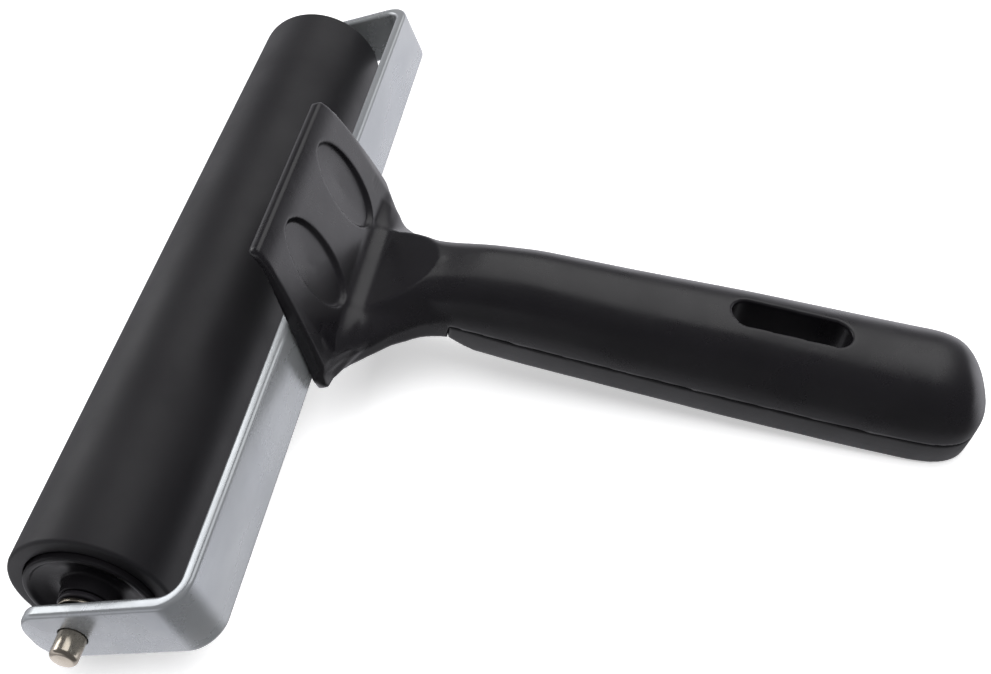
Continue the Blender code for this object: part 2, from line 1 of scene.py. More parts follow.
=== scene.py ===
"""Looks of the rubber brayer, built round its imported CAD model.

Shapes are drawn in the tool frame, in millimetres: X along the roller's axis, Y forward, Z across the
width of the frame's strip, origin in the middle of the roller's axis. The handle also has running
coordinates: s along the grip from the nose of its neck, h square to it.
"""
import json
import math

import bmesh
import bpy
import numpy as np
from mathutils import Matrix, Vector


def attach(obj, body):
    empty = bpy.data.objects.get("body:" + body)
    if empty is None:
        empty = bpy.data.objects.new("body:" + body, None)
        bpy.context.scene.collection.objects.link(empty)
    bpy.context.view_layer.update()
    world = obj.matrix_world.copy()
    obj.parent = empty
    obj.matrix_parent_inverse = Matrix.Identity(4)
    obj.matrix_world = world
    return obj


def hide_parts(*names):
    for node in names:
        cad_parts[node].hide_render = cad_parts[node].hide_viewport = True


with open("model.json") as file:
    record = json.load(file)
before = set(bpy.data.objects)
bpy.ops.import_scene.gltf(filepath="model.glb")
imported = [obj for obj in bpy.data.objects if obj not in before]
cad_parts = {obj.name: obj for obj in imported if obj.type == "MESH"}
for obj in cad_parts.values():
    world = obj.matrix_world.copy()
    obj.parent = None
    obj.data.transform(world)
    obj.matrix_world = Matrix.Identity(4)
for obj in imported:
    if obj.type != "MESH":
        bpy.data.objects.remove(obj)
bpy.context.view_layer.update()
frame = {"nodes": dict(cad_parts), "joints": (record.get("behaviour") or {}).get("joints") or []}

# A millimetre in metres.
MM = 0.001

# ---- The tool frame in the row frame: turned about X, then moved to the roller's axis ----
TILT = math.radians(22.1962)
AXIS = frame["joints"][0]["pos_m"]

# ---- Sizes, in millimetres ----
# The bent strip: its section, the outer face of each arm, the outer face of its back and the arms' tips.
STRIP_T, STRIP_W = 3.3, 15.9
SPAN, BACK, REACH = 112.2, 32.2, 11.2
BEND, TIP_ROUND, STRIP_EDGE = 4.3, 5.5, 1.0
ROD_HOLE, SCREW_HOLE = 3.45, 2.3

# The rod, with a groove for each retaining clip.
ROD_R, ROD_END = 3.175, 118.1
GROOVE_R, GROOVE_AT, GROOVE_WIDE = 2.55, 107.1, 1.4

# The roller: the rubber covering, where each cap and bush starts inside it, and the washer outside it.
RUBBER_END, RUBBER_R, RUBBER_BORE = 101.6, 19.05, 15.3
CAP_START = 87.8
WASHER_START, WASHER_T, WASHER_R = 106.2, 0.9, 5.7
# The bore of bushes and washers, which clears the rod.
RUNNING_R = 3.475

# The screws that hold the strip to the handle.
SCREW_X, SCREW_Z, SCREW_SEAT = 29.0, -1.0, -27.4
SCREW_HEAD_R, SCREW_HEAD, SCREW_R, SCREW_LENGTH = 3.9, 2.4, 1.7, 8.6

# The handle: the nose of its neck (Y, Z), the slope of the grip and stations along s, each with the grip's
# half width, its top and its underside.
NOSE = (-59.2, -6.6)
SLOPE = math.radians(26.0)
GRIP_S = (-45.0, -24.0, -12.0, 0.0, 12.0, 25.0, 50.0, 80.0, 112.0, 124.8)
GRIP_HALF = (15.5, 14.5, 13.0, 12.0, 12.3, 12.9, 14.0, 14.8, 16.1, 16.3)
GRIP_TOP = (0.0, 0.0, 0.0, 0.3, 2.6, 3.5, 2.0, 1.3, -1.0, -1.6)
GRIP_UNDER = (-17.0, -17.0, -17.5, -18.6, -20.0, -21.2, -22.6, -24.8, -26.0, -26.4)
GRIP_END = 142.0

# The grip's section: powers of its rounds, where its sides start to lean in, and how far they lean.
SECTION_POWER, END_POWER = 2.5, 2.7
CROWN_SHARE = 0.52
SIDE_LEAN, SIDE_POWER = 0.13, 1.8
# How the grip's end drops over from above.
DROP_LENGTH, DROP, DROP_POWER = 9.0, 0.35, 2.2

# The web between neck and guard: half width, upward slope of its top, crease and underside along s.
WEB_S = (-26.0, -22.5, -21.2, -20.2, -19.0, -16.5, -12.4, -8.0, -4.5, -1.8, 3.0, 8.0)
WEB_HALF = (38.5, 38.0, 36.5, 34.2, 31.6, 27.3, 22.6, 18.3, 16.0, 14.0, 11.0, 8.0)
LIFT_S = (-21.0, -19.0, -17.0, -12.4, -8.0, -4.5, -1.8, 0.0, 6.0)
LIFT = (0.0, 0.10, 0.22, 0.60, 0.85, 0.90, 0.80, 0.60, 0.50)
CREASE_S = (-22.0, -19.3, -16.1, -12.7, -7.5, -2.3, 6.0)
CREASE = (-9.0, -9.3, -10.8, -11.5, -10.2, -9.4, -8.7)
WEB_UNDER_S = (-26.0, -21.6, -19.5, -17.0, -12.0, -6.0, 0.0, 6.0)
WEB_UNDER = (-11.5, -13.3, -14.8, -16.2, -16.5, -16.0, -15.8, -15.9)
# The web ends at s = WEB_BACK, and the thumb shelf cuts the neck off at Z = SHELF.
WEB_BACK = 9.0
SHELF = -6.0

# The finger guard: its front face, its back at a given height, its top, its bottom and its half width.
GUARD_FRONT = -32.5
GUARD_BACK, GUARD_BACK_Z, GUARD_BACK_SLOPE = -35.0, 23.8, 0.1137
GUARD_TOP, GUARD_BOTTOM = 28.9, -11.3
GUARD_HALF, GUARD_HALF_Z, GUARD_FLARE = 30.0, 28.7, 0.195
# Its lean: the height where it starts, over what height it grows, how far, and the back's share of it.
LEAN_FROM, LEAN_OVER, LEAN, LEAN_BEHIND = 22.0, 6.7, 1.9, 0.6
# Its back comes forward out at the sides, from further in below THIN_LOW_Z.
THIN_FROM, THIN_FROM_BELOW, THIN_OVER = 31.0, 26.0, 7.5
THIN_LOW_Z, THIN_LOW_OVER = -5.0, 4.0
THIN_SHARE, THIN_POWER = 0.9, 1.2
# Turns a field measured across a sloping face into a distance.
FACE_SCALE = 0.98

# The valley between guard and shelf: how far it reaches below the crease and out along X.
VALLEY_DEPTH, VALLEY_OVER = 2.5, 3.5
VALLEY_HALF, VALLEY_FADE = 34.0, 8.0
# Neck and web stop this far behind the guard's front face.
SHELL_INSET = 0.8

# Finger recesses: centre (x, Z), half axes, depth at the rim and extra depth in the middle.
RECESS_X, RECESS_Z, RECESS_RX, RECESS_RZ = 15.3, 11.0, 8.2, 13.2
RECESS_DEPTH, RECESS_DISH = 1.25, 0.5

# The hanging slot, the cover's front end and bevelled nose, and the seam's height above the underside.
SLOT_FRONT, SLOT_REAR, SLOT_R = 74.6, 105.1, 4.5
COVER_FRONT, COVER_GAP = 5.4, 0.05
COVER_NOSE_H, COVER_NOSE_RUN = -15.9, 1.79
SEAM, SEAM_RISE, SEAM_GAP = 8.1, 1.1, 0.08
# The cover's screws along s and their holes, the bores for the inserts, and the hollow.
COVER_SCREWS = (20.0, 64.0, 119.0)
PIN_R, COUNTERBORE_R, COUNTERBORE, PIN_DEPTH = 1.7, 3.3, 3.6, 14.9
INSERT_R, INSERT_DEPTH = 3.05, 4.05
HOLLOW_WALL, HOLLOW_FLOOR, HOLLOW_FRONT, HOLLOW_REAR = 3.0, 2.0, 29.0, 55.0

# Radii of the rounds and fillets where the handle's shapes meet.
FLOOR_ROUND, WEB_TOP_ROUND, WEB_FLOOR_ROUND = 0.9, 0.9, 0.8
WEB_FILLET, UNDER_ROUND, SHELF_ROUND = 3.0, 0.7, 0.4
GUARD_EDGE, GUARD_TOP_ROUND, GUARD_BOTTOM_ROUND = 0.6, 1.4, 2.5
GUARD_FILLET, VALLEY_FILLET = 1.5, 3.5
RECESS_FLOOR_ROUND, RECESS_RIM = 1.0, 0.25
SLOT_RIM, SLOT_RIM_BELOW = 0.4, 0.5
SEAM_ROUND, HOLLOW_ROUND = 0.05, 1.0
# A distance that is deep inside any shape.
DEEP_INSIDE = -99.0

# ---- Camera, in the tool frame ----
CAMERA_PLACE = (-236.588, -181.695, 182.564)
CAMERA_RIGHT = (0.18769, -0.91073, -0.36789)
CAMERA_DOWN = (-0.70432, 0.13627, -0.69668)
CAMERA_AHEAD = (0.68462, 0.38987, -0.61587)
CAMERA_LENS, CAMERA_SENSOR = 46.436, 36.0
CAMERA_SHIFT = (0.0664581, -0.0065288)


def to_world(points):
    """Tool frame in millimetres to row frame in metres."""
    p = np.asarray(points, float)
    c, s = math.cos(TILT), math.sin(TILT)
    out = np.empty_like(p)
    out[..., 0] = p[..., 0]
    out[..., 1] = p[..., 1] * c + p[..., 2] * s
    out[..., 2] = -p[..., 1] * s + p[..., 2] * c
    return out * MM + np.array(AXIS)


def handle_to_tool(x, s, h):
    """Running coordinates of the handle to the tool frame."""
    y = NOSE[0] - s * math.cos(SLOPE) - h * math.sin(SLOPE)
    z = NOSE[1] - s * math.sin(SLOPE) + h * math.cos(SLOPE)
    return np.stack([x, y, z], -1)


# ---- Materials ------------------------------------------------------------------------------
class Nodes:
    """Small helper that keeps node building short."""

    def __init__(self, name):
        self.mat = bpy.data.materials.new(name)
        self.mat.use_nodes = True
        self.tree = self.mat.node_tree
        self.shader = self.tree.nodes["Principled BSDF"]
        coords = self.tree.nodes.new("ShaderNodeTexCoord")
        self.coords = coords.outputs["Object"]
        self.normal = None

    def add(self, kind, **settings):
        node = self.tree.nodes.new("ShaderNode" + kind)
        for key, value in settings.items():
            setattr(node, key, value)
        return node

    def link(self, a, b):
        self.tree.links.new(a, b)

    def set(self, **values):
        for key, value in values.items():
            self.shader.inputs[key.replace("_", " ")].default_value = value

    def scaled(self, scale):
        node = self.add("Mapping")
        node.inputs["Scale"].default_value = scale
        self.link(self.coords, node.inputs["Vector"])
        return node.outputs["Vector"]

    def noise(self, scale, detail=3.0, rough=0.5, stretch=None, distort=0.0):
        node = self.add("TexNoise")
        node.inputs["Scale"].default_value = scale
        node.inputs["Detail"].default_value = detail
        node.inputs["Roughness"].default_value = rough
        node.inputs["Distortion"].default_value = distort
        self.link(self.scaled(stretch) if stretch else self.coords, node.inputs["Vector"])
        return node.outputs["Fac"]

    def spread(self, source, low, high, start=0.35, end=0.65):
        node = self.add("MapRange")
        for key, value in (("From Min", start), ("From Max", end), ("To Min", low), ("To Max", high)):
            node.inputs[key].default_value = value
        self.link(source, node.inputs["Value"])
        return node.outputs["Result"]

    def bump(self, source, strength, distance):
        node = self.add("Bump")
        node.inputs["Strength"].default_value = strength
        node.inputs["Distance"].default_value = distance
        self.link(source, node.inputs["Height"])
        if self.normal:
            self.link(self.normal, node.inputs["Normal"])
        self.normal = node.outputs["Normal"]
        self.link(self.normal, self.shader.inputs["Normal"])

    def mix(self, factor, a, b):
        node = self.add("Mix", data_type="RGBA")
        for socket, value in ((node.inputs[6], a), (node.inputs[7], b)):
            if isinstance(value, tuple):
                socket.default_value = (*value, 1)
            else:
                self.link(value, socket)
        self.link(factor, node.inputs[0])
        return node.outputs[2]


def plastic(name, colour, rough, specular=0.62, grain=0.35):
    """Moulded black plastic: faint orange peel, finer grain, dusty and rubbed patches."""
    n = Nodes(name)
    n.set(Specular_IOR_Level=specular, IOR=1.5)
    light = tuple(c * 1.3 + 0.001 for c in colour)
    n.link(n.mix(n.spread(n.noise(38, 4), 0.0, 1.0), colour, light), n.shader.inputs["Base Color"])
    n.link(n.spread(n.noise(60, 5, 0.6), rough - 0.05, rough + 0.07), n.shader.inputs["Roughness"])
    n.bump(n.noise(420, 2), grain * 0.25, 0.00025)
    n.bump(n.noise(2600, 2), grain, 0.00003)
    return n.mat


def metal(name, metallic, colours, colour_scale, rough, rough_scale, bump):
    """Bare metal with a little variation. bump is the noise's arguments, a strength and a distance."""
    n = Nodes(name)
    n.set(Metallic=metallic)
    n.link(n.mix(n.spread(n.noise(colour_scale, 4), 0.0, 1.0), *colours), n.shader.inputs["Base Color"])
    n.link(n.spread(n.noise(rough_scale, 4), *rough), n.shader.inputs["Roughness"])
    noise, strength, depth = bump
    n.bump(n.noise(*noise), strength, depth)
    return n.mat


def roller_rubber():
    """Ground rubber, with very faint rings round the roller."""
    n = Nodes("roller_rubber")
    n.set(Specular_IOR_Level=0.42, IOR=1.5)
    n.link(n.mix(n.spread(n.noise(25, 4), 0.0, 1.0), (0.010, 0.0095, 0.011), (0.014, 0.0135, 0.015)),
           n.shader.inputs["Base Color"])
    n.link(n.spread(n.noise(30, 5, 0.6), 0.42, 0.55), n.shader.inputs["Roughness"])
    n.bump(n.noise(180, 3, 0.6, (18, 0.6, 0.6)), 0.10, 0.0001)
    n.bump(n.noise(1500, 2), 0.22, 0.00004)
    return n.mat


def zinc_plated_strip():
    """Zinc plate: cloudy along the strip, with small specks."""
    n = Nodes("zinc_plated_strip")
    n.set(Metallic=0.7)
    speck = n.spread(n.noise(1100, 3, 0.6), 0.0, 0.12, 0.64, 0.76)
    cloud = n.mix(n.spread(n.noise(45, 5, 0.6, (0.35, 1, 1)), 0.0, 1.0),
                  (0.43, 0.45, 0.47), (0.50, 0.52, 0.53))
    n.link(n.mix(speck, cloud, (0.42, 0.42, 0.44)), n.shader.inputs["Base Color"])
    n.link(n.spread(n.noise(70, 5, 0.65, (0.3, 1, 1)), 0.22, 0.34), n.shader.inputs["Roughness"])
    n.bump(n.noise(1500, 3, 0.6), 0.05, 0.00004)
    return n.mat


def make_materials():
    return {
        "handle": plastic("moulded_handle", (0.0060, 0.0055, 0.0068), 0.29),
        "cover": plastic("moulded_cover", (0.0050, 0.0048, 0.0056), 0.38),
        "cap": plastic("moulded_cap", (0.006, 0.0055, 0.0065), 0.30, 0.2),
        "nylon": plastic("nylon_bush", (0.011, 0.010, 0.012), 0.30),
        "core": plastic("core_plastic", (0.06, 0.06, 0.065), 0.45),
        "rubber": roller_rubber(),
        "strip": zinc_plated_strip(),
        "rod": metal("polished_rod", 1.0, ((0.68, 0.61, 0.50), (0.76, 0.69, 0.58)), 200,
                     (0.16, 0.28), 300, ((900, 3, 0.5, (1, 8, 8)), 0.08, 0.00005)),
        "oxide": metal("black_oxide", 0.8, ((0.03, 0.03, 0.032), (0.07, 0.07, 0.072)), 400,
                       (0.32, 0.5), 500, ((1400, 3), 0.15, 0.00004)),
        "brass": metal("turned_brass", 1.0, ((0.62, 0.45, 0.18), (0.75, 0.58, 0.28)), 300,
                       (0.25, 0.4), 400, ((900, 3), 0.1, 0.00004)),
    }


# ---- Mesh helpers ---------------------------------------------------------------------------
def mesh_object(name, world_points, faces, mat, smooth=40):
    mesh = bpy.data.meshes.new(name)
    mesh.from_pydata([tuple(p) for p in world_points], [], faces)
    shape = bmesh.new()
    shape.from_mesh(mesh)
    bmesh.ops.recalc_face_normals(shape, faces=shape.faces[:])
    shape.to_mesh(mesh)
    shape.free()
    mesh.shade_smooth()
    if smooth:
        mesh.set_sharp_from_angle(angle=math.radians(smooth))
    mesh.materials.append(mat)
    item = bpy.data.objects.new(name, mesh)
    bpy.context.scene.collection.objects.link(item)
    return item


def rounded_profile(corners, default=0.25, steps=4):
    """A closed outline from (x, r, radius) corners, each rounded by an arc-like curve."""
    out = []
    count = len(corners)
    for i, corner in enumerate(corners):
        p = np.array(corner[:2], float)
        radius = corner[2] if len(corner) > 2 else default
        before = np.array(corners[i - 1][:2], float) - p
        after = np.array(corners[(i + 1) % count][:2], float) - p
        if radius <= 0 or p[1] <= 0:
            out.append(tuple(p))
            continue
        lb, la = np.linalg.norm(before), np.linalg.norm(after)
        reach = min(radius, lb * 0.48, la * 0.48)
        a, b = p + before / lb * reach, p + after / la * reach
        for k in range(steps + 1):
            t = k / steps
            q = a * (1 - t) ** 2 + 2 * p * t * (1 - t) + b * t ** 2
            out.append(tuple(q))
    return out


def turned(name, profile, mat, steps=128, side=1, place=None):
    """Turn a closed outline of (distance along X, radius) about X. place moves it in the tool frame."""
    count = len(profile)
    xs = np.array([p[0] for p in profile]) * side
    rs = np.array([max(p[1], 0.0) for p in profile])
    verts, index = [], []
    for k in range(steps):
        angle = 2 * math.pi * k / steps
        row = []
        for j in range(count):
            if rs[j] == 0 and index:
                row.append(index[0][j])
                continue
            row.append(len(verts))
            verts.append((xs[j], rs[j] * math.cos(angle), rs[j] * math.sin(angle)))
        index.append(row)
    faces = []
    for k in range(steps):
        here, there = index[k], index[(k + 1) % steps]
        for j in range(count):
            i = (j + 1) % count
            face = []
            for v in (here[j], here[i], there[i], there[j]):
                if v not in face:
                    face.append(v)
            if len(face) > 2:
                faces.append(face)
    verts = np.array(verts)
    if place is not None:
        base, direction = place
        turn = np.array(Vector(direction).to_track_quat("X", "Z").to_matrix())
        verts = verts @ turn.T + np.array(base)
    return mesh_object(name, to_world(verts), faces, mat)


def add(item, body, slot, *nodes):
    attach(item, body)
    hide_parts(*nodes)
    return item


def apply_cuts(item, cutters):
    """Cut the tools out of a piece and keep only the result."""
    for tool in cutters:
        step = item.modifiers.new("cut", "BOOLEAN")
        step.operation = "DIFFERENCE"
        step.solver = "EXACT"
        step.object = tool
    graph = bpy.context.evaluated_depsgraph_get()
    result = bpy.data.meshes.new_from_object(item.evaluated_get(graph))
    shape = bmesh.new()
    shape.from_mesh(result)
    bmesh.ops.remove_doubles(shape, verts=shape.verts[:], dist=2e-6)
    bmesh.ops.dissolve_degenerate(shape, edges=shape.edges[:], dist=2e-6)
    shape.to_mesh(result)
    shape.free()
    item.modifiers.clear()
    item.data = result
    for tool in cutters:
        bpy.data.objects.remove(tool)
    item.data.shade_smooth()
    item.data.set_sharp_from_angle(angle=math.radians(35))


# ---- The handle, as a distance field --------------------------------------------------------
STEP = 0.55


def fillet_join(a, b, r):
    """Union with a round inside corner of radius r."""
    return np.maximum(r, np.minimum(a, b)) - np.hypot(np.maximum(r - a, 0), np.maximum(r - b, 0))


def round_meet(a, b, r):
    """Intersection with a round outside edge of radius r."""
    return np.minimum(-r, np.maximum(a, b)) + np.hypot(np.maximum(r + a, 0), np.maximum(r + b, 0))


def distance(field, step):
    """Turn any smooth field into a distance near its zero surface."""
    gx, gs, gh = np.gradient(field, step)
    return field / np.maximum(np.sqrt(gx * gx + gs * gs + gh * gh), 1e-3)


def rounded_line(grid, stations, values, reach):
    """A station table on an even grid, with its changes of slope rounded over reach grid steps each way."""
    line = np.interp(grid, stations, values)
    kernel = np.hanning(2 * reach + 1)
    kernel /= kernel.sum()
    return np.convolve(np.pad(line, reach, mode="edge"), kernel, "valid")


def grip_table(s, values):
    grid = np.arange(GRIP_S[0], GRIP_END + 10, 0.5)
    return np.interp(s, grid, rounded_line(grid, GRIP_S, values, 12))


def nets(field, origin, step):
    """Surface nets: one vertex in each cell that the surface crosses, one quad for each crossed edge."""
    inside = field < 0
    nx, ny, nz = field.shape
    cells = np.zeros((nx - 1, ny - 1, nz - 1), np.int8)
    for dx in (0, 1):
        for dy in (0, 1):
            for dz in (0, 1):
                cells += inside[dx:nx - 1 + dx, dy:ny - 1 + dy, dz:nz - 1 + dz]
    active = np.argwhere((cells > 0) & (cells < 8))
    ids = -np.ones(cells.shape, np.int64)
    ids[tuple(active.T)] = np.arange(len(active))
    total = np.zeros((len(active), 3))
    hits = np.zeros(len(active))
    corners = [(a, b, c) for a in (0, 1) for b in (0, 1) for c in (0, 1)]
    for start in corners:
        for axis in range(3):
            if start[axis]:
                continue
            end = list(start)
            end[axis] = 1
            fa = field[tuple((active + start).T)]
            fb = field[tuple((active + end).T)]
            cross = (fa < 0) != (fb < 0)
            t = np.where(cross, fa / np.where(fa == fb, 1, fa - fb), 0)
            point = np.tile(np.array(start, float), (len(active), 1))
            point[:, axis] = t
            total += point * cross[:, None]
            hits += cross
    verts = (active + total / hits[:, None]) * step + origin
    faces = []
    for axis in range(3):
        u, v = (axis + 1) % 3, (axis + 2) % 3
        shape = [slice(None)] * 3
        shape[axis] = slice(0, -1)
        first = inside[tuple(shape)]
        shape[axis] = slice(1, None)
        second = inside[tuple(shape)]
        edges = np.argwhere(first != second)
        edges = edges[(edges[:, u] > 0) & (edges[:, v] > 0)]
        edges = edges[(edges[:, u] < field.shape[u] - 1) & (edges[:, v] < field.shape[v] - 1)]
        quad = []
        for du, dv in ((0, 0), (-1, 0), (-1, -1), (0, -1)):
            cell = edges.copy()
            cell[:, u] += du
            cell[:, v] += dv
            quad.append(ids[tuple(cell.T)])
        quad = np.stack(quad, 1)
        leaving = first[tuple(edges.T)]
        quad[~leaving] = quad[~leaving][:, ::-1]
        faces.append(quad)
    return verts, np.concatenate(faces)


def field_object(name, field, origin, step, mat):
    """Mesh a field given for x >= 0, mirrored, in handle coordinates; its gradient gives the shading."""
    whole = np.concatenate([field[:0:-1], field], 0)
    start = np.array([-(field.shape[0] - 1) * step, origin[1], origin[2]])
    verts, faces = nets(whole, start, step)
    cell = (verts - start) / step
    grads = np.gradient(whole, step)
    low = np.clip(np.floor(cell).astype(int), 0, np.array(whole.shape) - 2)
    frac = cell - low
    normal = np.zeros_like(verts)
    for dx in (0, 1):
        for dy in (0, 1):
            for dz in (0, 1):
                weight = np.ones(len(verts))
                for axis, d in enumerate((dx, dy, dz)):
                    weight = weight * (frac[:, axis] if d else 1 - frac[:, axis])
                index = tuple((low + (dx, dy, dz)).T)
                for axis in range(3):
                    normal[:, axis] += weight * grads[axis][index]
    normal /= np.maximum(np.linalg.norm(normal, axis=1), 1e-9)[:, None]
    c, s = math.cos(SLOPE), math.sin(SLOPE)
    tool_normal = np.stack([
        normal[:, 0], -normal[:, 1] * c - normal[:, 2] * s, -normal[:, 1] * s + normal[:, 2] * c], -1)
    points = to_world(handle_to_tool(verts[:, 0], verts[:, 1], verts[:, 2]))
    world_normal = (to_world(tool_normal) - np.array(AXIS)) / MM
    mesh = bpy.data.meshes.new(name)
    mesh.vertices.add(len(points))
    mesh.vertices.foreach_set("co", points.astype(np.float32).ravel())
    mesh.loops.add(faces.size)
    mesh.loops.foreach_set("vertex_index", faces.astype(np.int32).ravel())
    mesh.polygons.add(len(faces))
    mesh.polygons.foreach_set("loop_start", (np.arange(len(faces)) * 4).astype(np.int32))
    mesh.update(calc_edges=True)
    mesh.validate()
    # The handle's coordinates are left-handed, so the faces are turned if they look inwards.
    face_normals = np.empty(len(mesh.polygons) * 3)
    mesh.polygons.foreach_get("normal", face_normals)
    first = faces[:, 0]
    if np.mean((face_normals.reshape(-1, 3) * world_normal[first]).sum(1)) < 0:
        mesh.flip_normals()
    mesh.shade_smooth()
    mesh.normals_split_custom_set_from_vertices([tuple(v) for v in world_normal])
    mesh.materials.append(mat)
    item = bpy.data.objects.new(name, mesh)
    bpy.context.scene.collection.objects.link(item)
    return item


class Grid:
    """Points of the handle's half with x >= 0, in the handle's and in the tool's coordinates."""

    def __init__(self, step):
        self.step = step
        self.x = np.arange(0, 40.5, step)
        self.s = np.arange(-42.5, 144.0, step)
        self.h = np.arange(-28.0, 21.5, step)
        self.X, self.S, self.H = (
            v.astype(np.float32) for v in np.meshgrid(self.x, self.s, self.h, indexing="ij", copy=False))
        self.Y = NOSE[0] - self.S * math.cos(SLOPE) - self.H * math.sin(SLOPE)
        self.Z = NOSE[1] - self.S * math.sin(SLOPE) + self.H * math.cos(SLOPE)
        self.top, self.under = (along(grip_table(self.s, row)) for row in (GRIP_TOP, GRIP_UNDER))
        self.crease = along(np.interp(self.s, CREASE_S, CREASE))
        self.web_under = along(np.interp(self.s, WEB_UNDER_S, WEB_UNDER))


def along(row):
    """A row of values along s, ready to spread over the grid."""
    return row[None, :, None]


def grip_field(g):
    """A crowned top over sides that lean in to a flat underside, closed and dropped at the end."""
    last = GRIP_S[-1]
    half = along(grip_table(g.s, GRIP_HALF))
    end = along(np.clip((g.s - last) / (GRIP_END - last), 0, 1.2))
    level = g.top - CROWN_SHARE * (g.top - g.under)
    rise = np.maximum(g.H - level, 0) / (g.top - level)
    depth = np.clip((level - g.H) / (level - g.under), 0, 1.3)
    taper = 1 - SIDE_LEAN * depth ** SIDE_POWER
    drop = np.clip((g.S - (GRIP_END - DROP_LENGTH)) / DROP_LENGTH, 0, 1.4)
    across = np.abs(g.X / half / taper)
    body = (across ** SECTION_POWER + rise ** SECTION_POWER + end ** END_POWER) ** (1 / SECTION_POWER) - 1
    body = body + DROP * np.maximum(rise, 0.0) ** 2 * drop ** DROP_POWER
    grip = distance(body.astype(np.float32), g.step)
    return round_meet(grip, (g.under - g.H).astype(np.float32), FLOOR_ROUND)


def web_field(g):
    """The web flares out to the guard's lower corners below a crease."""
    grid = np.arange(-30.0, 15.0, 0.25)
    reach = along(np.interp(g.s, grid, rounded_line(grid, WEB_S, WEB_HALF, 6)))
    outline = distance((g.X - reach + 0 * g.H).astype(np.float32), g.step)
    lift = along(np.interp(g.s, LIFT_S, LIFT))
    above = (g.H - (g.crease + lift * np.maximum(reach - g.X, 0))) / np.sqrt(1 + lift * lift)
    web = round_meet(outline, above.astype(np.float32), WEB_TOP_ROUND)
    web = round_meet(web, (g.web_under - g.H).astype(np.float32), WEB_FLOOR_ROUND)
    return np.maximum(web, g.S - WEB_BACK)


def guard_fields(g):
    """The finger guard, a thin slab that leans forward at the top, and the field of its back."""
    lean = LEAN * (np.maximum(g.Z - LEAN_FROM, 0) / LEAN_OVER) ** 2
    front = g.Y - (GUARD_FRONT + lean)
    below = np.clip((THIN_LOW_Z - g.Z) / THIN_LOW_OVER, 0, 1)
    thin_from = THIN_FROM - (THIN_FROM - THIN_FROM_BELOW) * below
    thin = 1 - THIN_SHARE * np.clip((g.X - thin_from) / THIN_OVER, 0, 1) ** THIN_POWER
    slope = (GUARD_BACK_Z - g.Z) * GUARD_BACK_SLOPE * thin
    back = (GUARD_BACK - slope + LEAN_BEHIND * lean - g.Y) * FACE_SCALE
    half = GUARD_HALF + (GUARD_HALF_Z - g.Z) * GUARD_FLARE
    outline = round_meet((g.X - half) * FACE_SCALE, g.Z - GUARD_TOP, GUARD_TOP_ROUND)
    outline = round_meet(outline, GUARD_BOTTOM - g.Z, GUARD_BOTTOM_ROUND)
    guard = round_meet(front, back, GUARD_EDGE)
    return round_meet(guard, outline, GUARD_EDGE), back


def recess_field(g, back):
    """An oval dish that follows the guard's back."""
    rho = np.sqrt(((g.X - RECESS_X) / RECESS_RX) ** 2 + ((g.Z - RECESS_Z) / RECESS_RZ) ** 2 + 1e-6)
    wall = distance((rho - 1).astype(np.float32), g.step)
    bed = -back - (RECESS_DEPTH + RECESS_DISH * np.clip(1 - rho, 0, 1))
    return round_meet(wall, bed, RECESS_FLOOR_ROUND)


def slot_field(g):
    """The hanging slot: a straight run with round ends, square to the grip."""
    middle, straight = (SLOT_FRONT + SLOT_REAR) / 2, (SLOT_REAR - SLOT_FRONT) / 2 - SLOT_R
    return np.hypot(np.maximum(np.abs(g.S - middle) - straight, 0), g.X) - SLOT_R


def hollow_field(g, grip, seam):
    """The closed hollow inside the front of the grip."""
    ends = np.maximum(HOLLOW_FRONT - g.S, g.S - HOLLOW_REAR)
    hollow = round_meet(grip + HOLLOW_WALL, seam + HOLLOW_FLOOR - g.H, HOLLOW_ROUND)
    hollow = round_meet(hollow, ends, HOLLOW_ROUND)
    return round_meet(hollow, g.H - g.top + HOLLOW_WALL, HOLLOW_ROUND)


def whole_shell(g, grip):
    """Grip, neck, web, guard and recesses as one shape, before it is divided and cut."""
    shell = fillet_join(grip, web_field(g), WEB_FILLET)
    underside = round_meet(shell, (g.web_under - g.H).astype(np.float32), UNDER_ROUND)
    shell = np.where(g.S < COVER_FRONT, underside, shell)
    # The neck is the grip carried on forward at its own slope, until the shelf cuts it.
    shell = round_meet(shell, g.Z - SHELF, SHELF_ROUND)
    shell = np.maximum(shell, g.Y - (GUARD_FRONT - SHELL_INSET))
    guard, back = guard_fields(g)
    # The corner between neck and guard is rounder in the valley than out at the sides.
    valley = np.clip((g.H - g.crease + VALLEY_DEPTH) / VALLEY_OVER, 0, 1)
    valley = valley * np.clip((VALLEY_HALF - g.X) / VALLEY_FADE, 0, 1)
    shell = fillet_join(shell, guard, GUARD_FILLET + VALLEY_FILLET * valley.astype(np.float32))
    return round_meet(shell, -recess_field(g, back), RECESS_RIM)


def upper_field(g, grip, seam, slot):
    """The moulding above the seam, with the slot, the insert bores and the hollow."""
    # In front of the cover, the moulding goes on down past the seam.
    seam_cut = np.where(g.S > COVER_FRONT, seam - g.H, DEEP_INSIDE)
    upper = np.maximum(whole_shell(g, grip), seam_cut)
    upper = round_meet(upper, -slot, SLOT_RIM)
    insert = np.hypot(g.X - SCREW_X, g.Z - SCREW_Z)
    upper = np.maximum(upper, -np.maximum(insert - INSERT_R, GUARD_FRONT - INSERT_DEPTH - g.Y))
    return np.maximum(upper, -hollow_field(g, grip, seam))


